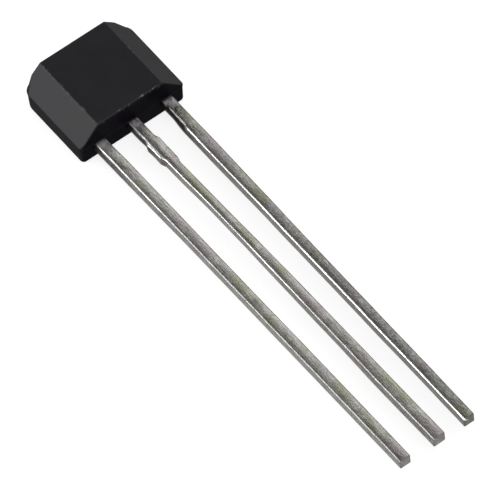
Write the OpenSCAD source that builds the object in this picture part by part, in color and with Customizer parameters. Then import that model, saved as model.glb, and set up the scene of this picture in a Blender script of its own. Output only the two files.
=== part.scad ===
// Hall effect sensor in a flat three-lead single-in-line package.
// +X runs across the body, +Y to its top end, and +Z out of the chamfered marking face. The leads
// point along -Y. The origin is the centre of the back face, which lies on Z = 0.

/* [Moulded body] */
// Width of the body across its parting line
body_w = 4.0; // [3.7:0.05:4.6]
// Height of the body from the lead end to the top end
body_h = 3.15; // [2.9:0.05:3.8]
// Thickness of the body from the back to the marking face
body_t = 1.5; // [1.4:0.02:1.9]
// Depth of the parting line below the marking face
parting_depth = 0.76; // [0.6:0.02:0.84]
// Width of the flat marking face between its two chamfers
face_w = 2.48; // [2.2:0.02:2.8]
// Draft of the mould walls in degrees
draft = 2; // [0.5:0.5:6]
// Radius of the two body corners at the lead end
lead_end_r = 0.17; // [0.08:0.01:0.22]
// Radius of the two body corners at the top end
top_end_r = 0.45; // [0.1:0.05:0.5]

/* [Mould marks] */
// Radius of the ejector pin mark in the back
ejector_r = 0.5; // [0.3:0.05:0.8]
// Depth of the ejector pin mark
ejector_depth = 0.04; // [0.02:0.01:0.08]
// Width of the gate stub at the top end
gate_w = 0.5; // [0.3:0.05:0.8]
// Height of the gate stub above the parting line
gate_h = 0.2; // [0.1:0.02:0.3]
// Length that the broken gate stands out of the top end
gate_stub = 0.05; // [0.02:0.01:0.1]

/* [Leads] */
// Distance between the centre lines of neighbouring leads
pitch = 1.27; // [1.2:0.01:1.4]
// Width of a lead
lead_w = 0.39; // [0.32:0.01:0.48]
// Thickness of the strip that the leads are stamped from
lead_t = 0.4; // [0.3:0.01:0.5]
// Length of the leads outside the body
lead_len = 15.6; // [12:0.1:18]
// Radius of the long edges of a lead
lead_edge_r = 0.07; // [0.02:0.01:0.08]
// Sideways lean of the supply lead in degrees
supply_lean = 0.4; // [-0.8:0.1:0.8]
// Sideways lean of the ground lead in degrees
ground_lean = 0.6; // [-0.8:0.1:0.8]
// Sideways lean of the output lead in degrees
output_lean = 0.1; // [-0.8:0.1:0.8]

/* [Dambar marks] */
// Distance from the body to the cut dambar's stubs on the ground lead
stub_start = 0.86; // [0.5:0.02:1.2]
// Length of the stub on the output side
stub_len_output = 1.42; // [0.8:0.02:1.8]
// Length of the stub on the supply side
stub_len_supply = 1.08; // [0.8:0.02:1.8]
// Height of a stub out of the side of the lead
stub_out = 0.07; // [0.03:0.01:0.15]
// Length over which a stub rises and falls
stub_ramp = 0.24; // [0.1:0.02:0.36]
// Distance from the body to the sheared edge on the output lead
shear_start = 0.15; // [0.1:0.01:0.5]
// Length of the sheared edge
shear_len = 1.15; // [0.6:0.05:1.6]
// Width that the shear took off the front of the lead
shear_w = 0.08; // [0.04:0.01:0.12]
// Depth that the shear took off the side of the lead
shear_t = 0.22; // [0.1:0.02:0.28]

/* [Lead frame in the body] */
// Depth in the body at which a lead widens
root_depth = 0.18; // [0.1:0.02:0.3]
// Width of a bond post
post_w = 0.62; // [0.5:0.02:0.7]
// Height of a bond post
post_h = 1.75; // [1.4:0.05:1.9]
// Radius of the mould lock notch in a bond post
lock_r = 0.12; // [0.06:0.01:0.16]
// Height of the lock notch above the foot of the bond post
lock_y = 0.45; // [0.3:0.05:0.7]
// Gap between a bond post and the die pad
frame_gap = 0.18; // [0.12:0.01:0.24]
// Width of the neck that carries the die pad
neck_w = 0.5; // [0.49:0.01:0.6]
// Height of the die pad
pad_h = 1.5; // [1.3:0.05:1.6]
// Width of a tie bar at the top of the die pad
tie_w = 0.26; // [0.18:0.02:0.34]
// Distance between the centre lines of the two tie bars
tie_pitch = 0.96; // [0.8:0.02:1.04]

/* [Chip] */
// Distance from the top end to the middle of the chip
sense_from_top = 1.44; // [1.35:0.01:1.55]
// Width of the chip
chip_w = 1.1; // [0.8:0.05:1.2]
// Height of the chip
chip_h = 1.1; // [0.8:0.05:1.2]
// Thickness of the chip
chip_t = 0.24; // [0.18:0.01:0.3]
// Thickness of the adhesive under the chip
attach_t = 0.02; // [0.01:0.005:0.04]
// Width of the adhesive fillet around the chip
attach_margin = 0.05; // [0.02:0.01:0.08]

/* [Bond wires] */
// Diameter of a bond wire
wire_d = 0.03; // [0.025:0.005:0.05]
// Height of a wire loop above the chip
loop_h = 0.16; // [0.1:0.01:0.2]
// Diameter of the ball bond on the chip and of the stitch on the frame
bond_d = 0.09; // [0.07:0.01:0.12]
// Height of the ball bond and of the stitch
bond_t = 0.025; // [0.02:0.005:0.035]
// Distance of the ball bonds from the edge of the chip
bond_inset = 0.12; // [0.08:0.01:0.2]
// Height of the side stitches above the foot of the bond post
stitch_y = 1.3; // [0.9:0.05:1.3]
// Distance of the ground stitch below the edge of the chip
ground_stitch = 0.58; // [0.5:0.02:0.68]

/* [Hidden] */
$fn = 48;

EPOXY = [0.15, 0.15, 0.16];
TIN = [0.62, 0.62, 0.6];
SILICON = [0.36, 0.38, 0.44];
ADHESIVE = [0.78, 0.76, 0.7];
GOLD = [0.85, 0.66, 0.25];

half_w = body_w / 2;
top_y = body_h / 2;
exit_y = -body_h / 2;
parting_z = body_t - parting_depth;
back_inset = parting_z * tan(draft);
front_inset = parting_depth * tan(draft);

frame_z = parting_z - lead_t;
root_y = exit_y + root_depth;
pad_w = 2 * (pitch - post_w / 2 - frame_gap);
chip_y = top_y - sense_from_top;
chip_z = parting_z + attach_t;
chip_top = chip_z + chip_t;
pad_foot_y = chip_y - pad_h / 2;
past = 0.3; // how far a cutting or trimmed shape runs past the surface it is cut at

// Rectangle from low to high, with one corner radius on its low side and one on its high side
module rounded_outline(low, high, low_r, high_r) {
    polygon([
        [low.x + low_r, low.y], [high.x - low_r, low.y], [high.x, low.y + low_r],
        [high.x, high.y - high_r], [high.x - high_r, high.y], [low.x + high_r, high.y],
        [low.x, high.y - high_r], [low.x, low.y + low_r]
    ]);
    for (x = [low.x + low_r, high.x - low_r]) translate([x, low.y + low_r]) circle(low_r);
    for (x = [low.x + high_r, high.x - high_r]) translate([x, high.y - high_r]) circle(high_r);
}

// Section across the leads: a drafted back half and a front half chamfered to the marking face
module body_section() {
    polygon([
        [-half_w + back_inset, 0], [half_w - back_inset, 0], [half_w, parting_z],
        [face_w / 2, body_t], [-face_w / 2, body_t], [-half_w, parting_z]
    ]);
}

// Section along the leads: both ends lean in from the parting line by the draft
module body_side() {
    polygon([
        [exit_y + back_inset, 0], [top_y - back_inset, 0], [top_y, parting_z],
        [top_y - front_inset, body_t], [exit_y + front_inset, body_t], [exit_y, parting_z]
    ]);
}

// The mould cavity's form: the three outlines of the body meet in one solid
module body_form() {
    intersection() {
        rotate([90, 0, 0]) linear_extrude(height = 2 * body_h, center = true) body_section();
        rotate([90, 0, 90]) linear_extrude(height = 2 * body_w, center = true) body_side();
        linear_extrude(height = body_t)
            rounded_outline([-half_w, exit_y], [half_w, top_y], lead_end_r, top_end_r);
    }
}

// Broken gate on the front half of the top end, rooted below the drafted wall
module gate() {
    translate([0, 0, parting_z]) rotate([90, 0, 90])
        linear_extrude(height = gate_w, center = true)
            polygon([[top_y - past, 0], [top_y + gate_stub, 0],
                     [top_y + gate_stub / 2, gate_h], [top_y - past, gate_h]]);
}

// A lead from its root in the body to its tip, with the lean starting where it leaves the body.
// Children are drawn in the lead's own frame: Y = 0 at the body, Z = 0 at the back of the strip.
module lead_place(x, lean) {
    translate([x, exit_y, frame_z]) rotate([0, 0, lean]) children();
}

module lead_bar() {
    translate([0, root_depth + lead_w / 2, 0]) rotate([90, 0, 0])
        linear_extrude(height = root_depth + lead_w / 2 + lead_len)
            rounded_outline([-lead_w / 2, 0], [lead_w / 2, lead_t], lead_edge_r, lead_edge_r);
}

// Stub of the dambar on one side of a lead, rising and falling along the lead
module dambar_stub(side, stub_len) {
    edge = side * lead_w / 2;
    crest = side * (lead_w / 2 + stub_out);
    finish = stub_start + stub_len;
    linear_extrude(height = lead_t)
        polygon([
            [0, -stub_start], [edge, -stub_start], [crest, -stub_start - stub_ramp],
            [crest, -finish + stub_ramp], [edge, -finish], [0, -finish]
        ]);
}

// Wedge that the dambar punch sheared off the front edge of a lead on its supply side
module sheared_edge() {
    translate([0, -shear_start, 0]) rotate([90, 0, 0])
        linear_extrude(height = shear_len)
            polygon([
                [-lead_w / 2 - past, lead_t + past], [-lead_w / 2 - past, lead_t - shear_t],
                [-lead_w / 2, lead_t - shear_t], [-lead_w / 2 + shear_w, lead_t],
                [-lead_w / 2 + shear_w, lead_t + past]
            ]);
}

// Bond post of an outer lead, with the mould lock notched into its outer edge
module bond_post(side) {
    translate([side * pitch, root_y, frame_z]) linear_extrude(height = lead_t)
        difference() {
            translate([-post_w / 2, 0]) square([post_w, post_h]);
            translate([side * post_w / 2, lock_y]) circle(lock_r);
        }
}

// Neck, die pad and tie bars, which run on past the top end until the body's form trims them
module die_pad() {
    translate([0, 0, frame_z]) linear_extrude(height = lead_t) {
        translate([-neck_w / 2, root_y]) square([neck_w, pad_foot_y - root_y + past]);
        translate([-pad_w / 2, pad_foot_y]) square([pad_w, pad_h]);
        for (side = [-1, 1])
            translate([(side * tie_pitch - tie_w) / 2, chip_y])
                square([tie_w, top_y - chip_y + past]);
    }
}

module supply_lead_form() {
    lead_place(-pitch, supply_lean) lead_bar();
    bond_post(-1);
}

module output_lead_form() {
    difference() {
        lead_place(pitch, output_lean) lead_bar();
        lead_place(pitch, output_lean) sheared_edge();
    }
    bond_post(1);
}

module ground_lead_form() {
    lead_place(0, ground_lean) {
        lead_bar();
        dambar_stub(-1, stub_len_supply);
        dambar_stub(1, stub_len_output);
    }
    intersection() {
        die_pad();
        body_form();
    }
}

module chip_form() {
    translate([-chip_w / 2, chip_y - chip_h / 2, chip_z]) cube([chip_w, chip_h, chip_t]);
}

module attach_form() {
    translate([-chip_w / 2 - attach_margin, chip_y - chip_h / 2 - attach_margin, parting_z])
        cube([chip_w + 2 * attach_margin, chip_h + 2 * attach_margin, attach_t]);
}

// Bond wire from a ball on the chip to a stitch on the frame. Its loop is the one circle that runs
// through both of its ends and just reaches the height of the loop.
module bond_wire(from, to) {
    span = norm(to - from);
    heading = atan2(to.y - from.y, to.x - from.x);
    chip_drop = loop_h - wire_d / 2; // from the top of the loop to its end on the chip
    frame_drop = chip_drop + chip_t + attach_t; // and to its end on the frame
    step = frame_drop - chip_drop;
    top_u = (sqrt(chip_drop * frame_drop * (span * span + step * step)) - chip_drop * span) / step;
    loop_r = (top_u * top_u + chip_drop * chip_drop) / (2 * chip_drop);
    chip_turn = acos(1 - chip_drop / loop_r);
    frame_turn = acos(1 - frame_drop / loop_r);
    translate([from.x, from.y, chip_top]) rotate([0, 0, heading]) {
        translate([top_u, 0, loop_h - loop_r]) rotate([90, 0, 0]) rotate([0, 0, 90 - frame_turn])
            rotate_extrude(angle = chip_turn + frame_turn)
                translate([loop_r, 0]) circle(d = wire_d);
        cylinder(d = bond_d, h = bond_t);
        translate([span, 0, parting_z - chip_top]) cylinder(d = bond_d, h = bond_t);
    }
}

module supply_wire_form() {
    bond_wire([-chip_w / 2 + bond_inset, chip_y], [-pitch, root_y + stitch_y]);
}

module output_wire_form() {
    bond_wire([chip_w / 2 - bond_inset, chip_y], [pitch, root_y + stitch_y]);
}

module ground_wire_form() {
    chip_foot_y = chip_y - chip_h / 2;
    bond_wire([0, chip_foot_y + bond_inset], [0, chip_foot_y - ground_stitch]);
}

// The compound flows round all that it holds, so every pocket is the held piece's own form
module moulded_body() {
    color(EPOXY) difference() {
        union() {
            body_form();
            gate();
        }
        translate([0, 0, -past]) cylinder(r = ejector_r, h = ejector_depth + past);
        supply_lead_form();
        ground_lead_form();
        output_lead_form();
        attach_form();
        chip_form();
        supply_wire_form();
        ground_wire_form();
        output_wire_form();
    }
}

module supply_lead() { color(TIN) supply_lead_form(); }
module ground_lead() { color(TIN) ground_lead_form(); }
module output_lead() { color(TIN) output_lead_form(); }
module hall_chip() { color(SILICON) chip_form(); }
module die_attach() { color(ADHESIVE) attach_form(); }
module supply_wire() { color(GOLD) supply_wire_form(); }
module ground_wire() { color(GOLD) ground_wire_form(); }
module output_wire() { color(GOLD) output_wire_form(); }

moulded_body();
supply_lead();
ground_lead();
output_lead();
hall_chip();
die_attach();
supply_wire();
ground_wire();
output_wire();
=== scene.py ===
"""Looks of a flat three-lead Hall effect sensor: moulded body, stamped leads and inner pieces.

Sizes in the classes are millimetres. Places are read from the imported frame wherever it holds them.
"""

import logging
import math
from dataclasses import dataclass, field
from enum import Enum
from typing import Any, Iterable

import bpy
import numpy as np
from mathutils import Matrix, Vector


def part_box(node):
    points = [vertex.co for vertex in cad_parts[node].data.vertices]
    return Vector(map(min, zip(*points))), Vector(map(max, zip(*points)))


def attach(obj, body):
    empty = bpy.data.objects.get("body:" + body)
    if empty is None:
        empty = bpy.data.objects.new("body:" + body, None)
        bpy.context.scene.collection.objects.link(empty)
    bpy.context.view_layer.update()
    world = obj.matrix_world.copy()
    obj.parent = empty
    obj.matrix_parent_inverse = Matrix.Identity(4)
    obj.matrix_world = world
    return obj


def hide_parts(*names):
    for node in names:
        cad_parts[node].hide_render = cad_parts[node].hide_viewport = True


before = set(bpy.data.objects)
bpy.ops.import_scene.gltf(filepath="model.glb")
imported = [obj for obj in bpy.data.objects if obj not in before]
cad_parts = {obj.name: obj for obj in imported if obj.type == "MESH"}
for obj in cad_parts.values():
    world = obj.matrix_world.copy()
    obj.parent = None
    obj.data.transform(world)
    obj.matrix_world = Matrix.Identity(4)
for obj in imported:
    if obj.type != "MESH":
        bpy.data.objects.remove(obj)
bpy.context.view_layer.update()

MM = 0.001
# the first mark paints highlights on the body's edges; on the leads it gives the sheared flanks'
# tone, and above 1 painted shade
MARKS = ("wear_and_painted_light", "bleed", "polish_and_highlight", "grime_and_shade")
PLATE_MARKS = np.array([0.8, 0.0, 0.0, 0.0])
LOG = logging.getLogger("hall_sensor")
Array = np.ndarray
Material = bpy.types.Material
Socket = bpy.types.NodeSocket
Triple = tuple[float, float, float]
Course = tuple[tuple[float, float], ...]
NOTHING: Course = ((0.0, 0.0), (1.0, 0.0))
FULL: Course = ((0.0, 1.0), (1.0, 1.0))


class Slot(Enum):
    """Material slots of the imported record."""

    COMPOUND = "moulding_compound"
    TIN = "tin_plated_lead"
    SILICON = "silicon"
    ADHESIVE = "silver_adhesive"
    GOLD = "gold_wire"


# ---------- meshes


def box_mm(node: str) -> tuple[Array, Array]:
    """Lowest and highest corner of a CAD node.

    Args:
        node: the node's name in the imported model.

    Returns:
        The two corners in millimetres.
    """
    low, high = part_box(node)
    return np.array(low) / MM, np.array(high) / MM


def smooth_step(x: Array, start: float | Array, end: float | Array) -> Array:
    """Cubic ramp 3t^2 - 2t^3 from 0 at start to 1 at end.

    Args:
        x: where the ramp is wanted.
        start: the value of x at which it leaves 0.
        end: the value of x at which it reaches 1.

    Returns:
        The ramp at each x.
    """
    t = np.clip((np.asarray(x, float) - start) / (end - start), 0.0, 1.0)
    return t * t * (3 - 2 * t)


def window(x: Array, start: float, end: float, ramp: float) -> Array:
    """1 between start and end, and 0 outside, with a cubic ramp inside each end."""
    return smooth_step(x, start, start + ramp) * (1 - smooth_step(x, end - ramp, end))


def waves(x: Array, shortest: float, longest: float, count: int, seed: int) -> Array:
    """Gentle random line: a sum of sines whose wavelengths and phases come from a seeded draw.

    Args:
        x: distances along the line.
        shortest: shortest wavelength.
        longest: longest wavelength.
        count: number of sines.
        seed: seed of the draw.

    Returns:
        Values between about -1 and 1.
    """
    draw = np.random.default_rng(seed)
    length = np.exp(draw.uniform(math.log(shortest), math.log(longest), count))
    phase = draw.uniform(0, 2 * math.pi, count)
    height = np.sqrt(length / longest)
    lines = height * np.sin(2 * math.pi * np.asarray(x, float)[..., None] / length + phase)
    return lines.sum(-1) / height.sum()


def eased(x: Array, course: Course) -> Array:
    """Line through given points, with a cubic ramp 3t^2 - 2t^3 from each to the next.

    Args:
        x: where the line is wanted.
        course: the points as pairs of x and height, with x rising.

    Returns:
        The height at each x, level before the first point and after the last.
    """
    at, height = np.array(course).T
    k = np.clip(np.searchsorted(at, x) - 1, 0, len(at) - 2)
    return height[k] + smooth_step(x, at[k], at[k + 1]) * (height[k + 1] - height[k])


def rectangle(left: float, low: float, right: float, high: float) -> Array:
    """Corners of a rectangle, anticlockwise, as rows of X and Y."""
    return np.array([[left, low], [right, low], [right, high], [left, high]])


def filleted(points: Array, radii: Iterable[float], steps: int = 10) -> Array:
    """Open line of points with an arc at each inner corner.

    Each arc touches both legs at radius * tan(turn / 2) from the corner, and its points lie at
    equal turns.

    Args:
        points: corners of the line, as rows of two coordinates.
        radii: one radius for each inner corner.
        steps: number of chords in an arc.

    Returns:
        The rounded line's points.
    """
    out = [points[0]]
    for before, corner, after, radius in zip(points, points[1:], points[2:], radii):
        into = (corner - before) / np.linalg.norm(corner - before)
        away = (after - corner) / np.linalg.norm(after - corner)
        turn = math.atan2(into[0] * away[1] - into[1] * away[0], float(into @ away))
        start = corner - into * radius * math.tan(abs(turn) / 2)
        inward = np.array([-into[1], into[0]]) * math.copysign(1.0, turn)
        centre = start + inward * radius
        angle = np.linspace(0, turn, steps + 1)[:, None]
        spoke = start - centre
        turned = np.hstack([
            spoke[0] * np.cos(angle) - spoke[1] * np.sin(angle),
            spoke[0] * np.sin(angle) + spoke[1] * np.cos(angle),
        ])
        out.extend(centre + turned)
    out.append(points[-1])
    return np.array(out)


def rounded(
    half: float, low: float, high: float, radii: Iterable[float], steps: int,
    shares: Iterable[Array],
) -> Array:
    """Closed outline of a rectangle with an arc at each corner, anticlockwise.

    Args:
        half: half its width.
        low: its lower end.
        high: its upper end.
        radii: radii of the corners, from the upper right.
        steps: number of chords in an arc.
        shares: where the points between two arcs lie, from 0 to 1, for each side.

    Returns:
        Points of the outline, as rows of two coordinates.
    """
    turn = np.linspace(0, math.pi / 2, steps + 1)
    arcs = []
    for quarter, ((x, y), r) in enumerate(zip(
        ((half, high), (-half, high), (-half, low), (half, low)), radii
    )):
        angle = turn + quarter * math.pi / 2
        centre = np.array([x - math.copysign(r, x), y + (r if y == low else -r)])
        arcs.append(centre + r * np.column_stack([np.cos(angle), np.sin(angle)]))
    out = []
    for arc, following, share in zip(arcs, arcs[1:] + arcs[:1], shares):
        out += [arc, arc[-1] + share[:, None] * (following[0] - arc[-1])]
    return np.vstack(out)


@dataclass
class Shell:
    """Vertices, faces and the MARKS of each vertex, gathered from surfaces laid on grids."""

    points: list[Array] = field(default_factory=list)
    faces: list[Array] = field(default_factory=list)
    marks: list[Array] = field(default_factory=list)
    count: int = 0

    def add(self, points: Array, faces: Iterable[Array], marks: Array) -> None:
        """Adds a surface.

        Args:
            points: its vertices in millimetres.
            faces: arrays of faces, each with as many columns as its faces have corners.
            marks: one row for each vertex, or one row for all, in the order of MARKS.
        """
        self.points.append(points.reshape(-1, 3))
        self.faces.extend(np.asarray(f) + self.count for f in faces)
        self.marks.append(np.broadcast_to(marks, (len(self.points[-1]), len(MARKS))))
        self.count += len(self.points[-1])

    def add_rings(self, rings: Array, marks: Array | None = None) -> None:
        """Adds a closed tube of rings with a fan over each end.

        Columns wrap round, and each end is closed on the mean of its ring. Rings that run
        anticlockwise, seen from the last ring, give faces that point outwards.

        Args:
            rings: vertices as rings by columns by three coordinates.
            marks: marks as rings by columns by MARKS, or none where all are 0.
        """
        n, m = rings.shape[:2]
        marks = np.zeros((n, m, len(MARKS))) if marks is None else marks
        row, col = np.meshgrid(np.arange(n - 1), np.arange(m), indexing="ij")
        a, b = row * m + col, row * m + (col + 1) % m
        quads = np.stack([a, b, b + m, a + m], -1).reshape(-1, 4)
        k = np.arange(m)
        low, high = n * m, n * m + 1
        first = np.stack([np.full(m, low), (k + 1) % m, k], -1)
        last = np.stack([np.full(m, high), (n - 1) * m + k, (n - 1) * m + (k + 1) % m], -1)
        ends = np.stack([rings[0].mean(0), rings[-1].mean(0)])
        rows = np.vstack([marks.reshape(-1, len(MARKS)), marks[0, 0], marks[-1, 0]])
        self.add(np.vstack([rings.reshape(-1, 3), ends]), [quads, first, last], rows)

    def add_plate(self, outline: Array, low: float, high: float) -> None:
        """Adds a flat plate with sheared sides.

        Args:
            outline: its corners, anticlockwise, as rows of X and Y.
            low: height of its lower side.
            high: height of its upper side.
        """
        n = len(outline)
        lower = np.column_stack([outline, np.full(n, low)])
        upper = np.column_stack([outline, np.full(n, high)])
        k = np.arange(n)
        walls = np.stack([k, (k + 1) % n, (k + 1) % n + n, k + n], -1)
        self.add(np.vstack([lower, upper]), [walls, k[None, ::-1], k[None] + n], PLATE_MARKS)

    def piece(self, name: str) -> bpy.types.Object:
        """Puts the gathered surfaces into one smooth mesh at the origin.

        Args:
            name: the piece's name.

        Returns:
            The new object, with its MARKS and its normals' upward and tipward parts as attributes.
        """
        points = np.vstack(self.points) * MM
        loops = np.concatenate([f.reshape(-1) for f in self.faces])
        sizes = np.concatenate([np.full(len(f), f.shape[1]) for f in self.faces])
        mesh = bpy.data.meshes.new(name)
        mesh.vertices.add(len(points))
        mesh.vertices.foreach_set("co", points.astype(np.float32).reshape(-1))
        mesh.loops.add(len(loops))
        mesh.loops.foreach_set("vertex_index", loops.astype(np.int32))
        mesh.polygons.add(len(sizes))
        starts = np.concatenate([[0], np.cumsum(sizes)[:-1]])
        mesh.polygons.foreach_set("loop_start", starts.astype(np.int32))
        mesh.update(calc_edges=True)
        mesh.validate()
        mesh.shade_smooth()
        normals = np.empty(len(points) * 3, np.float32)
        mesh.vertex_normals.foreach_get("vector", normals)
        columns = np.column_stack([np.vstack(self.marks), normals[2::3], -normals[1::3]])
        for label, values in zip((*MARKS, "rise", "tipward"), columns.astype(np.float32).T):
            mesh.attributes.new(label, "FLOAT", "POINT").data.foreach_set("value", values.copy())
        made = bpy.data.objects.new(name, mesh)
        bpy.context.scene.collection.objects.link(made)
        return made


# ---------- finishes


@dataclass(frozen=True)
class Value:
    """A number that varies over a surface. Its operators add Math nodes to the material."""

    tree: bpy.types.NodeTree
    socket: Socket

    def _math(self, operation: str, *terms: "Value | float", clamp: bool = False) -> "Value":
        """Adds one Math node.

        Args:
            operation: what it does.
            terms: what it works on.
            clamp: whether its result is held between 0 and 1.

        Returns:
            Its result.
        """
        math_node = self.tree.nodes.new("ShaderNodeMath")
        math_node.operation = operation
        math_node.use_clamp = clamp
        for slot, term in zip(math_node.inputs, terms):
            if isinstance(term, Value):
                self.tree.links.new(term.socket, slot)
            else:
                slot.default_value = term
        return Value(self.tree, math_node.outputs[0])

    def __add__(self, other: "Value | float") -> "Value":
        """self + other"""
        return self._math("ADD", self, other)

    __radd__ = __add__

    def __sub__(self, other: "Value | float") -> "Value":
        """self - other"""
        return self._math("SUBTRACT", self, other)

    def __rsub__(self, other: float) -> "Value":
        """other - self"""
        return self._math("SUBTRACT", other, self)

    def __mul__(self, other: "Value | float") -> "Value":
        """self * other"""
        return self._math("MULTIPLY", self, other)

    __rmul__ = __mul__

    def clamped(self) -> "Value":
        """self held between 0 and 1"""
        return self._math("ADD", self, 0.0, clamp=True)

    def between(self, low: float, high: float) -> "Value":
        """Smooth ramp over self.

        Args:
            low: where the ramp is 0.
            high: where it is 1.

        Returns:
            The ramp.
        """
        ramp = self.tree.nodes.new("ShaderNodeMapRange")
        ramp.interpolation_type = "SMOOTHSTEP"
        self.tree.links.new(self.socket, ramp.inputs["Value"])
        ramp.inputs["From Min"].default_value = low
        ramp.inputs["From Max"].default_value = high
        return Value(self.tree, ramp.outputs["Result"])


class Paint:
    """A material being made: its tree, its shader and the patterns that feed it.

    The Mix node's colour sockets share their names with others, so they are found by number.
    """

    MIX_A, MIX_B, MIX_RESULT = 6, 7, 2

    def __init__(self, name: str) -> None:
        """Makes an empty material with one Principled shader.

        Args:
            name: the material's name.
        """
        self.material = bpy.data.materials.new(name)
        self.material.use_nodes = True
        self.tree = self.material.node_tree
        self.tree.nodes.clear()
        self.shader = self.node("BsdfPrincipled")
        output = self.node("OutputMaterial")
        self.tree.links.new(self.shader.outputs["BSDF"], output.inputs["Surface"])
        self.place = self.node("TexCoord").outputs["Object"]

    def node(
        self, kind: str, settings: dict[str, Any] | None = None, inputs: dict[str, Any] | None = None
    ) -> bpy.types.Node:
        """Adds a node.

        Args:
            kind: its type, without the ShaderNode in front.
            settings: values set on the node itself, before its sockets.
            inputs: values or links of its sockets, by name.

        Returns:
            The node.
        """
        made = self.tree.nodes.new("ShaderNode" + kind)
        for key, value in (settings or {}).items():
            setattr(made, key, value)
        for key, value in (inputs or {}).items():
            self.feed(made.inputs[key], value)
        return made

    def feed(self, socket: Socket, value: Any) -> None:
        """Links or sets a socket, whichever the value is for.

        Args:
            socket: the input.
            value: a socket to link from, or what to set.
        """
        if isinstance(value, Value):
            self.tree.links.new(value.socket, socket)
        elif isinstance(value, Socket):
            self.tree.links.new(value, socket)
        else:
            socket.default_value = value

    def noise(
        self, per_mm: Triple, detail: float = 3.0, rough: float = 0.55, seed: float = 0.0
    ) -> Value:
        """Noise from 0 to 1 on the piece's own coordinates.

        Args:
            per_mm: how many features there are in a millimetre along X, Y and Z.
            detail: number of finer layers.
            rough: strength of the finer layers.
            seed: shifts the pattern.

        Returns:
            The noise.
        """
        scale = tuple(f / MM for f in per_mm)
        shift = (seed, seed * 1.7, seed * 0.3)
        mapped = self.node("Mapping", {}, {"Vector": self.place, "Scale": scale, "Location": shift})
        settings = {"Scale": 1.0, "Detail": detail, "Roughness": rough}
        made = self.node("TexNoise", {}, {"Vector": mapped.outputs["Vector"], **settings})
        return Value(self.tree, made.outputs["Fac"])

    def mark(self, label: str) -> Value:
        """A value that the piece carries at its vertices, by its attribute's name."""
        return Value(self.tree, self.node("Attribute", {"attribute_name": label}).outputs["Fac"])

    def blend(self, factor: Value | float, low: Any, high: Any) -> Socket:
        """Colour between two others.

        Args:
            factor: 0 for the first and 1 for the second.
            low: first colour, as three numbers or a socket.
            high: second colour.

        Returns:
            The mixed colour's socket.
        """
        mix = self.node("Mix", {"data_type": "RGBA"})
        self.feed(mix.inputs["Factor"], factor)
        for socket, colour in ((mix.inputs[self.MIX_A], low), (mix.inputs[self.MIX_B], high)):
            linked = isinstance(colour, Socket)
            self.feed(socket, colour if linked else (*colour, 1.0))
        return mix.outputs[self.MIX_RESULT]

    def relief(self, height: Value, depth: float, over: Socket | None = None) -> Socket:
        """Bump from a height.

        Args:
            height: the height, from 0 to 1.
            depth: what 1 stands for, in millimetres.
            over: an earlier bump that this one lies on.

        Returns:
            The tilted normal.
        """
        bump = self.node("Bump", {}, {"Height": height, "Distance": depth * MM, "Strength": 1.0})
        if over is not None:
            self.feed(bump.inputs["Normal"], over)
        return bump.outputs["Normal"]

    def finish(self, **sockets: Any) -> Material:
        """Feeds the shader.

        Args:
            sockets: values by the sockets' names, with underscores for spaces.

        Returns:
            The finished material.
        """
        for key, value in sockets.items():
            self.feed(self.shader.inputs[key.replace("_", " ")], value)
        return self.material


@dataclass(frozen=True)
class MouldedCompound:
    """Black epoxy: matt marking face, smoother bevels, mottled filler and pale specks along the
    edges, which are painted highlights.

    The coat's weight is what tells the walls, the lead end, the bevels and the marking face apart.
    """

    dark: Triple = (0.0036, 0.0027, 0.0052)
    light: Triple = (0.0062, 0.0057, 0.0066)
    # pale tone of the painted highlight specks on the edges
    edge_glint: Triple = (0.09, 0.09, 0.092)
    grain_mm: float = 0.03
    wall_gloss: float = 0.10
    exit_gloss: float = 0.04
    bevel_gloss: float = 0.30
    face_gloss: float = 0.23

    def material(self) -> Material:
        """Mixes the finish.

        Returns:
            The material.
        """
        paint = Paint("compound")
        cloud = paint.noise((1.1, 1.1, 1.1), detail=4, rough=0.6)
        grain = paint.noise((1 / self.grain_mm,) * 3, detail=2, rough=0.6, seed=3.0)
        speck = paint.noise((10, 10, 10), detail=3, rough=0.6, seed=21.0)
        filler = (cloud * 0.7 + grain * 0.3).between(0.35, 0.7)
        colour = paint.blend(filler, self.dark, self.light)
        # painted highlight: pale specks along the marking face's edges stand for glints on the
        # rounded edge
        edge_glints = paint.mark("wear_and_painted_light") * (speck.between(0.55, 0.65) + 0.1)
        colour = paint.blend(edge_glints.clamped(), colour, self.edge_glint)
        bumps = paint.relief(grain, depth=0.004)
        bumps = paint.relief(cloud, depth=0.012, over=bumps)
        rise, tipward = paint.mark("rise"), paint.mark("tipward")
        bevel, face = rise.between(0.3, 0.7), rise.between(0.75, 0.98)
        lead_end = tipward.between(0.6, 0.9)
        gloss = self.wall_gloss + bevel * (self.bevel_gloss - self.wall_gloss)
        gloss = gloss - lead_end * (self.wall_gloss - self.exit_gloss)
        gloss = gloss + face * (self.face_gloss - self.bevel_gloss)
        return paint.finish(
            Base_Color=colour,
            Roughness=(0.6 + cloud * 0.12 + grain * 0.06).clamped(),
            Specular_IOR_Level=0.0,
            Coat_Weight=gloss,
            Coat_Roughness=0.4,
            Normal=bumps,
        )


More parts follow.
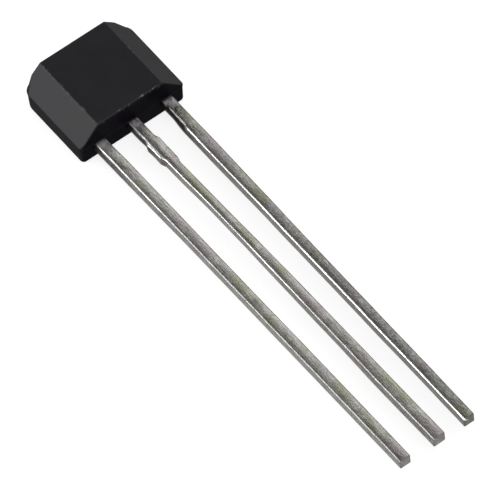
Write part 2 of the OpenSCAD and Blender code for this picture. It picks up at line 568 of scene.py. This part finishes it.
@dataclass(frozen=True)
class TinPlate:
    """Dull tin on a drawn copper strip: streaks, blotches, pits, and olive and rosy tints.

    Each mark drives one kind of use: wear the sheared flanks, which above 1 is painted shade, grime
    painted shade next to the body and a darker tone further along, polish the edge that is rubbed
    bright or, above 1, matt and pale as a painted highlight, and bleed the compound's film next to
    the body.
    """

    bright: Triple = (0.233, 0.230, 0.215)
    dull: Triple = (0.102, 0.0995, 0.0915)
    olive: Triple = (0.145, 0.145, 0.106)
    rosy: Triple = (0.165, 0.146, 0.149)
    flank: Triple = (0.050, 0.0475, 0.043)
    scored: Triple = (0.205, 0.199, 0.180)
    stain: Triple = (0.35, 0.332, 0.355)
    # tone of the rubbed front edge, also used for its pale painted highlight next to the body
    rubbed_and_highlight: Triple = (0.74, 0.74, 0.73)
    shaded: Triple = (0.012, 0.012, 0.013)

    def material(self) -> Material:
        """Mixes the finish.

        Returns:
            The material.
        """
        paint = Paint("tin_plate")
        streak = paint.noise((24, 1.6, 24), detail=5, rough=0.7)
        blotch = paint.noise((4.0, 2.0, 4.0), detail=5, rough=0.65, seed=5.0)
        fine = paint.noise((30, 12, 30), detail=4, rough=0.7, seed=2.0)
        tint = paint.noise((1.8, 0.9, 1.8), detail=3, rough=0.5, seed=14.5)
        mottle = paint.noise((11, 8, 11), detail=3, rough=0.6, seed=9.0)

        plain = (streak * 0.5 + blotch * 0.5).between(0.36, 0.62)
        colour = paint.blend(plain, self.dull, self.bright)
        colour = paint.blend(tint.between(0.52, 0.62) * 0.75, colour, self.olive)
        colour = paint.blend((1 - tint).between(0.52, 0.64) * 0.7, colour, self.rosy)
        pits = fine.between(0.57, 0.67) * 0.6
        colour = paint.blend(pits, colour, self.flank)

        wear_and_painted_light = paint.mark("wear_and_painted_light")
        scores = (streak * 0.3 + mottle * 0.4 + blotch * 0.3).between(0.41, 0.58)
        sheared = paint.blend(scores, self.flank, self.scored)
        colour = paint.blend(wear_and_painted_light.clamped(), colour, sheared)
        # painted shade next to the body, where the body hides the light, and a darker tone further
        # along the output lead
        tarnish_and_shade = paint.mark("grime_and_shade") * (0.4 + blotch + (mottle - 0.5) * 3.0)
        colour = paint.blend(tarnish_and_shade.clamped(), colour, self.shaded)

        broken = 1 - (fine * 0.5 + streak * 0.5).between(0.5, 0.64) * 0.75
        polish_and_highlight = paint.mark("polish_and_highlight").clamped() * broken
        # painted highlight: where the polish mark is above 1 the edge turns pale and matt, standing
        # for the highlight next to the body
        painted_highlight = (paint.mark("polish_and_highlight") - 1).clamped() * (0.6 + broken * 0.4)
        colour = paint.blend(polish_and_highlight, colour, self.rubbed_and_highlight)

        ragged = 0.25 + blotch * 0.8 + (mottle - 0.5) * 1.7
        film = (paint.mark("bleed") * ragged * paint.mark("rise").between(0.2, 0.9)).clamped()
        colour = paint.blend(film, colour, self.stain)
        # painted shade: where the flank mark is above 1, most of all next to the body, the tin turns
        # dark and loses its metal
        shade = (wear_and_painted_light + (streak - 0.5) * 1.6).between(1.0, 1.6)
        colour = paint.blend(shade * 0.9, colour, self.shaded)

        bumps = paint.relief(streak, depth=0.006)
        bumps = paint.relief(fine, depth=0.0045, over=bumps)
        bumps = paint.relief(blotch, depth=0.012, over=bumps)
        rough = 0.18 + blotch * 0.12 + fine * 0.1 + film * 0.2 - polish_and_highlight * 0.1
        return paint.finish(
            Base_Color=colour,
            Metallic=(1 - film * 0.75) * (1 - shade * 0.85) * (1 - painted_highlight * 0.8),
            Specular_IOR_Level=0.0,
            Roughness=rough.clamped(),
            Normal=bumps,
        )


@dataclass(frozen=True)
class InnerFinish:
    """Finish of sealed inner pieces: one tone with a fine mottle."""

    name: str
    slot: Slot
    nodes: tuple[str, ...]
    tone: Triple
    metal: float
    rough: float
    grain_per_mm: float

    def material(self) -> Material:
        """Mixes the finish.

        Returns:
            The material.
        """
        paint = Paint(self.name)
        mottle = paint.noise((self.grain_per_mm,) * 3, detail=3, rough=0.6)
        darker = tuple(0.7 * c for c in self.tone)
        return paint.finish(
            Base_Color=paint.blend(mottle, darker, self.tone),
            Metallic=self.metal,
            Roughness=(self.rough + mottle * 0.1).clamped(),
            Normal=paint.relief(mottle, depth=0.001),
        )


@dataclass(frozen=True)
class PaleFloor:
    """Plain white floor, lit from below as well so that the shadows on it stay faint."""

    tone: Triple = (0.26, 0.26, 0.26)
    glow: Triple = (0.80, 0.80, 0.80)

    def material(self) -> Material:
        """Mixes the finish.

        Returns:
            The material.
        """
        paint = Paint("pale_floor")
        haze = paint.noise((0.05, 0.05, 0.05), detail=2)
        near = tuple(c * 0.99 for c in self.tone)
        return paint.finish(
            Base_Color=paint.blend(haze, near, self.tone),
            Roughness=0.9,
            Specular_IOR_Level=0.0,
            Emission_Color=(*self.glow, 1.0),
            Emission_Strength=1.0,
        )


def dress(piece: bpy.types.Object, material: Material, slot: Slot) -> None:
    """Gives a new piece its material and its body, and logs the record's slot.

    Args:
        piece: the object.
        material: its material.
        slot: the record's slot, named in the log.
    """
    piece.data.materials.clear()
    piece.data.materials.append(material)
    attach(piece, "root")
    LOG.info("%s: %d faces, %s", piece.name, len(piece.data.polygons), slot.value)


# ---------- pieces


@dataclass
class MouldedBody:
    """The moulded body, as flat slices stacked from the back to the marking face."""

    face_w: float = 2.48
    draft: float = 2.0
    lead_end_r: float = 0.17
    top_end_r: float = 0.45
    back_edge_r: float = 0.12
    front_edge_r: float = 0.05
    corner_r: float = 0.06
    flash_out: float = 0.012
    flash_high: float = 0.014
    ejector_r: float = 0.5
    ejector_depth: float = 0.04
    gate_w: float = 0.5
    gate_h: float = 0.2
    gate_root: float = 0.15
    gate_square: float = 0.35
    gate_ragged: float = 0.12
    gate_points: int = 48
    # strength of the painted highlight specks on the edges away from the lead end
    side_glint: float = 0.35
    lead_end_glint: float = 0.1
    corner_steps: int = 10
    side_steps: int = 14
    edge_levels: int = 11
    line_levels: int = 13
    wall_levels: tuple[int, int] = (5, 7)
    back_shares: tuple[float, ...] = (0.3, 0.7, 0.97)
    face_shares: tuple[float, ...] = (0.985, 0.8, 0.5, 0.2)
    parting_r: float = 0.02
    ejector_rim: Course = (
        (0.2, 1.0), (0.93, 1.0), (0.985, 0.93), (1.0, 0.8), (1.0, 0.2), (1.015, 0.05), (1.04, 0.0)
    )
    gate_slices: Course = ((0.2, 1.0), (0.6, 0.97), (0.9, 0.9), (0.97, 0.6))

    def __post_init__(self) -> None:
        """Reads the body's box and the parting line's height from the frame."""
        low, high = box_mm("moulded_body")
        self.half_w = high[0]
        self.exit_y = low[1]
        self.top_y = -low[1]
        self.gate_y = high[1]
        self.thick = high[2]
        self.parting = box_mm("supply_lead")[1][2]

    def _levels(self) -> Array:
        """Places the slices, densest round the two edges and the parting line.

        Returns:
            Their heights.
        """
        quarter = 1 - np.cos(np.linspace(0, math.pi / 2, self.edge_levels))
        back = self.back_edge_r * quarter
        front = self.thick - self.front_edge_r * quarter[::-1]
        beyond, off_edge, off_line = 1.6, 0.02, 0.03
        line = self.parting + self.flash_high * np.linspace(-beyond, beyond, self.line_levels)
        below, above = self.wall_levels
        lower = np.linspace(back[-1] + off_edge, line[0] - off_line, below)
        upper = np.linspace(line[-1] + off_line, front[0] - off_edge, above)
        return np.concatenate([back, lower, line, upper, front])

    def _reach(self, levels: Array, at_back: float, at_parting: float, at_face: float) -> Array:
        """How far a wall stands from the middle at each level.

        The wall is a line from the back's edge by the parting line to the face's edge, with an arc
        at the back and front edges, read off at the wanted heights.

        Args:
            levels: heights.
            at_back: distance at the back.
            at_parting: distance at the parting line.
            at_face: distance at the marking face.

        Returns:
            One distance for each level.
        """
        line = np.array([
            [0, 0], [at_back, 0], [at_parting, self.parting], [at_face, self.thick], [0, self.thick]
        ])
        radii = (self.back_edge_r, self.parting_r, self.front_edge_r)
        path = filleted(line, radii, steps=24)[1:-1]
        from_line = (levels - self.parting) / (0.5 * self.flash_high)
        return np.interp(levels, path[:, 1], path[:, 0]) + self.flash_out * np.exp(-from_line ** 2)

    def _slices(self, levels: Array) -> list[Array]:
        """Closed outline of the body at each level, as rows of X and Y.

        The drafted walls lean in from the parting line, and each corner's radius shrinks by what
        the outline loses in width.

        Args:
            levels: heights.

        Returns:
            One outline for each level.
        """
        tight, first = 0.015, 0.06
        along = np.linspace(first, 1 - first, self.side_steps - 2)
        shares = [np.concatenate([[tight], along, [1 - tight]])] * 4
        back_in = self.parting * math.tan(math.radians(self.draft))
        front_in = (self.thick - self.parting) * math.tan(math.radians(self.draft))
        half = self._reach(levels, self.half_w - back_in, self.half_w, self.face_w / 2)
        ends = self._reach(levels, self.top_y - back_in, self.top_y, self.top_y - front_in)
        lost = np.clip(self.half_w - half, 0, None)
        low_r = np.maximum(self.lead_end_r - lost, self.corner_r)
        high_r = np.maximum(self.top_end_r - lost, self.corner_r)
        return [
            rounded(h, -e, e, (hr, hr, lr, lr), self.corner_steps, shares)
            for h, e, hr, lr in zip(half, ends, high_r, low_r)
        ]

    def _rings(self) -> tuple[Array, Array]:
        """Slices from the ejector mark in the back up to the middle of the marking face.

        Returns:
            The rings and their marks, whose first mark paints a highlight of 1 along the marking
            face's edge at the leads.
        """
        levels = self._levels()
        flat = self._slices(levels)
        rings = [np.column_stack([o, np.full(len(o), z)]) for o, z in zip(flat, levels)]
        # painted highlight along the marking face's edge, full near the lead end and weaker on the
        # other sides
        edge = np.exp(-((levels - self.thick) / self.front_edge_r) ** 2)
        lead_end = [o[:, 1] < self.exit_y + self.lead_end_glint for o in flat]
        wear_and_painted_light = [e * np.where(near, 1.0, self.side_glint) for near, e in zip(lead_end, edge)]
        back, face = rings[0], rings[-1]
        heading = np.arctan2(back[:, 1], back[:, 0])
        circle = np.column_stack([np.cos(heading), np.sin(heading)])
        mark = [
            np.column_stack([
                circle * radius * self.ejector_r, np.full(len(circle), deep * self.ejector_depth)
            ])
            for radius, deep in self.ejector_rim
        ]
        spread = [mark[-1] + t * (back - mark[-1]) for t in self.back_shares]
        inner = [face * np.array([s, s, 1]) for s in self.face_shares]
        none = 0 * wear_and_painted_light[0]
        wear_and_painted_light = [none] * (len(mark) + len(spread)) + wear_and_painted_light + [none] * len(inner)
        marks = np.zeros((*np.shape(wear_and_painted_light), len(MARKS)))
        marks[..., MARKS.index("wear_and_painted_light")] = wear_and_painted_light
        return np.array(mark + spread + rings + inner), marks

    def _gate(self) -> Array:
        """Carries the broken gate out from the body, with slices that shrink to a ragged end.

        Returns:
            Its rings.
        """
        turn = np.linspace(0, 2 * math.pi, self.gate_points, endpoint=False)
        outline = np.column_stack([np.cos(turn), np.sin(turn)])
        outline = np.sign(outline) * np.abs(outline) ** self.gate_square
        middle = self.parting + self.gate_h / 2
        stub = self.gate_y - self.top_y
        torn = self.gate_ragged * stub * waves(turn, shortest=0.3, longest=2.0, count=5, seed=4)
        outer = [(share * stub, size) for share, size in self.gate_slices]
        rings = []
        for y, size in [(-self.gate_root, 1.0), *outer]:
            rings.append(np.column_stack([
                -outline[:, 0] * size * self.gate_w / 2,
                np.minimum(self.top_y + y + torn * (y > 0), self.gate_y),
                middle + outline[:, 1] * size * self.gate_h / 2,
            ]))
        return np.array(rings)

    def build(self, finish: Material) -> bpy.types.Object:
        """Makes the body's piece.

        Args:
            finish: the compound's material.

        Returns:
            The object.
        """
        shell = Shell()
        shell.add_rings(*self._rings())
        shell.add_rings(self._gate())
        made = shell.piece("body_shell")
        dress(made, finish, Slot.COMPOUND)
        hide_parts("moulded_body")
        return made


@dataclass
class Lead:
    """A stamped lead: a bar with rolled edges outside the body, and flat plates inside it.

    Courses give a value against the distance away from the body. The left side is the supply
    lead's, at low X. Ripples, bends and ragged edges are drawn from the seed.
    """

    node: str
    lean: float
    seed: int
    width: float = 0.39
    edge_r: float = 0.07
    far_edge_r: float = 0.045
    back_edge_r: float = 0.03
    tip_r: float = 0.03
    tip_rings: int = 5
    corner_steps: int = 8
    side_points: tuple[int, ...] = (14, 8, 8, 8)
    crown: float = 0.02
    stubs: tuple[float, float] = (0.0, 0.0)
    stub_start: float = 0.86
    stub_out: float = 0.07
    stub_ramp: float = 0.24
    stub_ragged: float = 0.12
    shear: float = 0.0
    shear_start: float = 0.15
    shear_w: float = 0.08
    shear_t: float = 0.22
    shear_ramp: float = 0.1
    shear_ragged: float = 0.3
    bend: float = 0.006
    free_from: float = 2.0
    side_ripple: float = 0.0015
    face_ripple: float = 0.001
    side_share: float = 0.6
    stub_share: float = 0.55
    left_tilt: float = 0.0
    left_course: Course = NOTHING
    right_course: Course = NOTHING
    root: float = 0.5
    inset: float = 0.18
    spacing: float = 0.045
    bleed: float = 0.5
    bleed_rise: tuple[float, float] = (-0.02, 0.16)
    bleed_fall: tuple[float, float] = (0.1, 0.55)
    # painted highlight: pale matt stretch of the front left edge next to the body
    painted_highlight_start: float = 0.1
    painted_highlight_reach: float = 0.0
    painted_highlight_ramp: float = 0.3
    # painted shade on the flanks next to the body
    near_body_shade: float = 0.5
    near_body_shade_fall: tuple[float, float] = (0.3, 2.6)
    rub_shares: tuple[float, float] = (0.4, 0.85)
    wear_course: Course = FULL
    polish_and_highlight_course: Course = FULL
    # painted shade next to the body and a darker tone further along
    grime_and_shade_course: Course = NOTHING
    grime_and_shade_to: float = 0.3
    grime_and_shade_fade: float = 0.1

    def __post_init__(self) -> None:
        """Reads the lead's place and thickness from the frame."""
        low, high = box_mm(self.node)
        self.back, self.front = low[2], high[2]
        self.thick = high[2] - low[2]
        self.exit_y = box_mm("moulded_body")[0][1]
        self.length = self.exit_y - low[1]
        self.x = 0.0 if self.node == "ground_lead" else (low[0] + high[0]) / 2

    def _section(self) -> Array:
        """Cross-section, anticlockwise seen from the tip: a rectangle with rolled edges.

        Its front is a parabola, at full thickness in the middle and crown lower at the sides.

        Returns:
            Points as rows of X from the middle of the lead and Z from its back.
        """
        half = self.width / 2
        radii = (self.far_edge_r, self.edge_r, self.back_edge_r, self.back_edge_r)
        shares = [np.linspace(0, 1, n + 2)[1:-1] for n in self.side_points]
        points = rounded(half, 0.0, self.thick, radii, self.corner_steps, shares)
        bulge = self.crown * (1 - (points[:, 0] / half) ** 2)
        on_front = points[:, 1] > self.thick - 0.25 * self.far_edge_r
        points[:, 1] += np.where(on_front, bulge - self.crown, 0)
        return points

    def _shift(self, away: Array, x: Array, z: Array) -> Array:
        """How far each point moves in X for the wander of the sides and for the dambar's stubs.

        Each half of the section follows its side's course, eased in over side_share of its width
        from the middle, which stays. left_tilt is how much less the left side moves at the front
        than at the back. A stub pushes out only what lies beyond stub_share of the half width.

        Args:
            away: distances from the body, one for each ring.
            x: the section's X, as rings by columns.
            z: its Z.

        Returns:
            The shift of every point.
        """
        reach, half = np.abs(x), self.width / 2
        whole = smooth_step(reach, 0, self.side_share * half)
        leaning = 1 - self.left_tilt * z / self.thick
        left = -whole * leaning * eased(away, self.left_course)[:, None]
        right = whole * eased(away, self.right_course)[:, None]
        shift = np.where(x < 0, left, right)
        side = np.sign(x) * smooth_step(reach, self.stub_share * half, half)
        line = waves(away, shortest=0.2, longest=0.8, count=6, seed=self.seed + 7)
        ragged = 1 + self.stub_ragged * line
        for which, length in zip((-1, 1), self.stubs):
            if length:
                end = self.stub_start + length
                out = self.stub_out * window(away, self.stub_start, end, self.stub_ramp) * ragged
                shift += np.where(side * which > 0, side * out[:, None], 0)
        return shift

    def _sheared(self, away: Array, x: Array, z: Array) -> tuple[Array, Array]:
        """Section after the shear has cut its front left edge.

        The cut's plane meets the front shear_w from the left side, and the side shear_t below the
        front. Points beyond it are pushed back along its normal, by a ragged depth.

        Args:
            away: distances from the body, one for each ring.
            x: the section's X, as rings by columns.
            z: its Z.

        Returns:
            The new X and Z.
        """
        cut = window(away, self.shear_start, self.shear_start + self.shear, self.shear_ramp)
        normal = np.array([-self.shear_t, self.shear_w])
        normal = normal / np.linalg.norm(normal)
        depth = (x + self.width / 2) * normal[0] + (z - self.thick + self.shear_t) * normal[1]
        line = waves(away, shortest=0.12, longest=0.4, count=6, seed=self.seed + 3)
        ragged = 1 + self.shear_ragged * line
        depth = np.clip(depth, 0, None) * cut[:, None] * ragged[:, None]
        return x - depth * normal[0], z - depth * normal[1]

    def _marks(self, away: Array, section: Array) -> Array:
        """Marks of the bar's points.

        Args:
            away: distances from the body, one for each ring.
            section: the cross-section's points.

        Returns:
            Rings by columns by MARKS. Wear follows its course on the sheared flanks, with up to
            near_body_shade more next to the body, and wear above 1 is painted shade. Bleed is the
            strength of the compound's film. Polish follows its course on the front left edge, up to
            twice as strong where that edge is matt, which paints a highlight there. Grime, painted
            shade next to the body and a darker tone further along, follows its course from the left
            side as far as grime_and_shade_to.
        """
        flat = 1 - np.abs(section[:, 1] / self.thick - 0.5) * 2
        flank = smooth_step(flat, 0.2, 0.5) * (np.abs(section[:, 0]) > 0.4 * self.width)
        # painted shade: the flanks darken next to the body
        near = self.near_body_shade * (1 - smooth_step(away, *self.near_body_shade_fall))
        wear_and_painted_light = flank * (eased(away, self.wear_course) + near)[:, None]

        fade = 1 - smooth_step(away, *self.bleed_fall)
        film = self.bleed * smooth_step(away, *self.bleed_rise) * fade

        from_edge = np.hypot(*(section - np.array([-self.width / 2, self.thick])).T)
        rubbed_and_highlight = 1 - smooth_step(from_edge, *(s * self.edge_r for s in self.rub_shares))
        polish_and_highlight = rubbed_and_highlight * eased(away, self.polish_and_highlight_course)[:, None]
        # painted highlight: the edge strip next to the body gets a pale matt stretch
        if self.painted_highlight_reach:
            end = self.painted_highlight_start + self.painted_highlight_reach
            painted_highlight = window(away, self.painted_highlight_start, end, self.painted_highlight_ramp)
            polish_and_highlight = polish_and_highlight * (1 + painted_highlight[:, None])

        # painted shade next to the body and a darker tone further along, from the left side
        left = 1 - smooth_step(section[:, 0], self.grime_and_shade_to - self.grime_and_shade_fade, self.grime_and_shade_to)
        grime_and_shade = eased(away, self.grime_and_shade_course)[:, None] * left
        return np.stack(np.broadcast_arrays(wear_and_painted_light, film[:, None], polish_and_highlight, grime_and_shade), -1)

    def _bar(self) -> tuple[Array, Array]:
        """Rings of the bar, carried from inside the body to the tip.

        The section slides along the leaning line, with its sides shifted and sheared. The last
        rings draw in round the tip on a quarter circle, and gentle waves bend the whole line.

        Returns:
            The rings and their marks.
        """
        section = self._section()
        straight = self.length - self.tip_r
        away = np.concatenate([
            np.linspace(-self.root, straight, int((self.length + self.root) / self.spacing)),
            straight + self.tip_r * np.sin(np.linspace(0, math.pi / 2, self.tip_rings + 1))[1:],
        ])
        x = np.repeat(section[None, :, 0], len(away), 0)
        z = np.repeat(section[None, :, 1], len(away), 0)
        x = x + self._shift(away, x, z)
        if self.shear:
            x, z = self._sheared(away, x, z)

        past = np.clip((away - straight) / self.tip_r, 0, 1)
        drop = 1 - np.sqrt(1 - past ** 2)[:, None]
        draw_in = 1 - self.tip_r * drop / (self.width / 2)
        x, z = x * draw_in, (z - self.thick / 2) * draw_in + self.thick / 2
        bent = waves(away, shortest=1.5, longest=7.0, count=5, seed=self.seed)
        side_wave = waves(away, shortest=0.12, longest=0.6, count=9, seed=self.seed + 1)
        face_wave = waves(away, shortest=0.15, longest=0.9, count=9, seed=self.seed + 2)
        x = x + self.bend * (smooth_step(away, 0.0, self.free_from) * bent)[:, None]
        x = x + self.side_ripple * side_wave[:, None] * np.sign(x)
        z = z + self.face_ripple * face_wave[:, None] * np.sign(z - self.thick / 2)
        z = np.clip(z, 0, self.thick)

        angle = math.radians(self.lean)
        y = np.repeat(-away[:, None], x.shape[1], 1)
        rings = np.stack([
            self.x + x * math.cos(angle) - y * math.sin(angle),
            self.exit_y + x * math.sin(angle) + y * math.cos(angle),
            self.back + z,
        ], -1)
        rings[..., 1] = np.maximum(rings[..., 1], self.exit_y - self.length)
        return rings, self._marks(away, section)

    def plates(self) -> list[Array]:
        """Outlines of what the lead widens into inside the body."""
        raise NotImplementedError

    def build(self, finish: Material) -> bpy.types.Object:
        """Makes the lead's piece.

        Args:
            finish: the tin plate's material.

        Returns:
            The object.
        """
        shell = Shell()
        shell.add_rings(*self._bar())
        for outline in self.plates():
            shell.add_plate(outline, self.back, self.front)
        made = shell.piece(self.node + "_strip")
        dress(made, finish, Slot.TIN)
        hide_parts(self.node)
        return made


@dataclass
class OuterLead(Lead):
    """A lead that ends in a bond post with a mould lock in its outer edge."""

    lock_r: float = 0.12
    lock_y: float = 0.45

    def plates(self) -> list[Array]:
        """Draws the bond post, with a half-round notch in its outer edge.

        Returns:
            Its outline.
        """
        low, high = box_mm(self.node)
        side = math.copysign(1.0, self.x)
        foot = self.exit_y + self.inset
        half = (high[0] - low[0]) / 2
        outer, inner = self.x + side * half, self.x - side * half
        turn = np.linspace(-math.pi / 2, math.pi / 2, 13)
        notch = np.column_stack([
            outer - side * self.lock_r * np.cos(turn),
            foot + self.lock_y + self.lock_r * np.sin(turn),
        ])
        outline = np.vstack([
            [inner, foot], [outer, foot], notch, [outer, high[1]], [inner, high[1]]
        ])
        return [outline if side > 0 else outline[::-1]]


@dataclass
class GroundLead(Lead):
    """The middle lead, which carries the die pad and two tie bars cut off at the top end."""

    neck_w: float = 0.5
    pad_h: float = 1.5
    tie_w: float = 0.26
    tie_pitch: float = 0.96
    cut_out: float = 0.004

    def plates(self) -> list[Array]:
        """Draws the neck, the die pad and the two tie bars.

        Returns:
            Their outlines.
        """
        low, high = box_mm("ground_lead")
        chip_low, chip_high = box_mm("hall_chip")
        middle = (chip_low[1] + chip_high[1]) / 2
        foot, head = middle - self.pad_h / 2, middle + self.pad_h / 2
        neck = rectangle(-self.neck_w / 2, self.exit_y + self.inset, self.neck_w / 2, foot)
        pad = rectangle(low[0], foot, high[0], head)
        ties = [
            rectangle(x - self.tie_w / 2, head, x + self.tie_w / 2, high[1] + self.cut_out)
            for x in (-self.tie_pitch / 2, self.tie_pitch / 2)
        ]
        return [neck, pad, *ties]


@dataclass
class InnerPieces:
    """The sealed pieces, which keep their CAD form and get a finish each."""

    finishes: tuple[InnerFinish, ...] = (
        InnerFinish(
            "silicon_chip", Slot.SILICON, ("hall_chip",), (0.16, 0.18, 0.24),
            metal=0.6, rough=0.15, grain_per_mm=6,
        ),
        InnerFinish(
            "silver_adhesive", Slot.ADHESIVE, ("die_attach",), (0.62, 0.6, 0.56),
            metal=0.4, rough=0.5, grain_per_mm=30,
        ),
        InnerFinish(
            "gold_wire", Slot.GOLD, ("supply_wire", "ground_wire", "output_wire"), (0.9, 0.62, 0.2),
            metal=1.0, rough=0.15, grain_per_mm=40,
        ),
    )

    def build(self) -> None:
        """Puts each finish on its nodes."""
        for finish in self.finishes:
            material = finish.material()
            for name in finish.nodes:
                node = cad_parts[name]
                node.data.materials.clear()
                node.data.materials.append(material)
                LOG.info("%s: kept from the frame, %s", name, finish.slot.value)


# ---------- studio


@dataclass(frozen=True)
class Softbox:
    """A soft rectangular light, aimed at the sensor."""

    name: str
    toward: Triple
    distance: float
    size: tuple[float, float]
    radiance: float

    def build(self, aim: Vector) -> None:
        """Places the light.

        Args:
            aim: the point that it faces, in metres.
        """
        data = bpy.data.lights.new(self.name, "AREA")
        data.shape = "RECTANGLE"
        data.size, data.size_y = self.size
        data.energy = self.radiance * math.pi * self.size[0] * self.size[1]
        lamp = bpy.data.objects.new(self.name, data)
        away = Vector(self.toward).normalized()
        lamp.location = aim + away * self.distance
        lamp.rotation_euler = away.to_track_quat("Z", "Y").to_euler()
        bpy.context.scene.collection.objects.link(lamp)


@dataclass
class Studio:
    """Floor, lights and camera."""

    look_at: Triple = (-0.08, -7.75, 0.5)
    right: Triple = (0.7997, -0.5957, -0.0690)
    ahead: Triple = (0.2997, 0.4965, -0.8132)
    seen: float = 15.43
    lens: float = 1200.0
    sensor: float = 36.0
    floor_half: float = 2.0
    world: float = 0.46
    softboxes: tuple[Softbox, ...] = (
        Softbox("left_wall", (-0.80, 0.50, 0.24), 0.30, (0.30, 0.12), 7.6),
        Softbox("right_top", (0.602, 0.4965, 0.624), 0.30, (0.20, 0.15), 3.4),
        Softbox("overhead", (0.0, -0.42, 0.91), 0.35, (0.55, 0.42), 1.2),
    )

    def _camera(self) -> None:
        """Camera with a very long lens, turned by its right and forward directions."""
        ahead = Vector(self.ahead).normalized()
        right = Vector(self.right)
        right = (right - right.dot(ahead) * ahead).normalized()
        up = right.cross(ahead)
        data = bpy.data.cameras.new("camera")
        data.lens = self.lens
        data.sensor_width = self.sensor
        distance = self.seen * MM * self.lens / self.sensor
        data.clip_start, data.clip_end = 0.01 * distance, 20 * distance
        camera = bpy.data.objects.new("camera", data)
        place = Vector(self.look_at) * MM - ahead * distance
        turned = Matrix((right, up, -ahead)).transposed().to_4x4()
        camera.matrix_world = Matrix.Translation(place) @ turned
        bpy.context.scene.collection.objects.link(camera)
        bpy.context.scene.camera = camera

    def _floor(self) -> None:
        """Floor that the sensor lies on."""
        half = self.floor_half
        mesh = bpy.data.meshes.new("floor")
        corners = rectangle(-half, -half, half, half)
        mesh.from_pydata([(x, y, 0.0) for x, y in corners], [], [(0, 1, 2, 3)])
        mesh.materials.append(PaleFloor().material())
        floor = bpy.data.objects.new("floor", mesh)
        bpy.context.scene.collection.objects.link(floor)

    def build(self) -> None:
        """Places everything round the sensor and sets plain colour handling."""
        self._camera()
        self._floor()
        for softbox in self.softboxes:
            softbox.build(Vector(self.look_at) * MM)
        world = bpy.data.worlds.new("studio")
        world.use_nodes = True
        ground = world.node_tree.nodes["Background"]
        ground.inputs["Color"].default_value = (1.0, 1.0, 1.0, 1.0)
        ground.inputs["Strength"].default_value = self.world
        bpy.context.scene.world = world
        bpy.context.scene.view_settings.view_transform = "Standard"


# ---------- scene


def leads() -> tuple[Lead, ...]:
    """Gives each lead its own lean, stamping marks and use.

    Returns:
        The three leads.
    """
    supply = OuterLead(
        "supply_lead", lean=0.4, seed=11, bleed=1.15, left_tilt=0.85,
        left_course=((0.5, 0.044), (2.6, 0.024), (5.5, 0.0)),
        right_course=((0.5, -0.016), (1.3, 0.003), (8.0, 0.002), (9.5, 0.012)),
        wear_course=((2.5, 1.0), (4.0, 0.78)),
        polish_and_highlight_course=((0.3, 0.6), (3.0, 0.45), (4.5, 0.15)),
    )
    ground = GroundLead(
        "ground_lead", lean=0.6, seed=23, stubs=(1.08, 1.42), bleed=1.4, left_tilt=0.35,
        left_course=(
            (0.5, 0.015), (1.3, -0.019), (2.4, -0.022), (4.2, -0.060), (5.5, -0.057), (8.0, -0.026),
            (10.0, -0.005), (13.0, 0.044),
        ),
        right_course=(
            (0.5, -0.042), (1.9, -0.056), (2.6, -0.040), (4.2, -0.028), (6.5, -0.004), (8.5, 0.008),
        ),
        # wear above 1 and the grime course paint shade; the matt reach paints a highlight on the
        # edge next to the body
        wear_course=((5.5, 1.02), (8.0, 1.16)),
        polish_and_highlight_course=((2.0, 0.85), (3.4, 0.6), (5.6, 0.5), (7.0, 0.8), (8.2, 0.55), (9.5, 0.2)),
        painted_highlight_reach=1.2,
        grime_and_shade_course=((0.4, 0.5), (1.9, 0.35), (2.8, 0.12), (5.8, 0.1), (7.5, 0.0)), grime_and_shade_to=0.02,
    )
    output = OuterLead(
        "output_lead", lean=0.1, seed=37, shear=1.15, bleed=1.3, edge_r=0.095, left_tilt=0.8,
        left_course=((0.5, -0.018), (1.2, 0.031), (2.5, 0.026), (5.5, 0.005)),
        right_course=((0.5, 0.011), (2.3, 0.026), (4.2, 0.012), (8.5, -0.006), (11.0, 0.0)),
        # wear above 1 and the grime course paint shade next to the body; polish above 1 and the matt
        # reach paint a highlight on the edge
        wear_course=((2.2, 1.15), (4.8, 0.7)),
        polish_and_highlight_course=(
            (0.2, 0.2), (0.5, 1.2), (1.0, 1.1), (1.6, 0.8), (2.8, 0.45), (4.4, 0.45), (5.4, 0.9),
        ),
        painted_highlight_reach=1.2,
        grime_and_shade_course=((0.4, 0.75), (1.4, 0.22), (4.0, 0.26), (7.5, 0.42)),
    )
    return supply, ground, output


def main() -> None:
    """Builds the pieces in order, then the studio."""
    logging.basicConfig(level=logging.INFO, format="%(name)s: %(message)s")
    MouldedBody().build(MouldedCompound().material())
    tin = TinPlate().material()
    for lead in leads():
        lead.build(tin)
    InnerPieces().build()
    Studio().build()


if __name__ == "__main__":
    main()
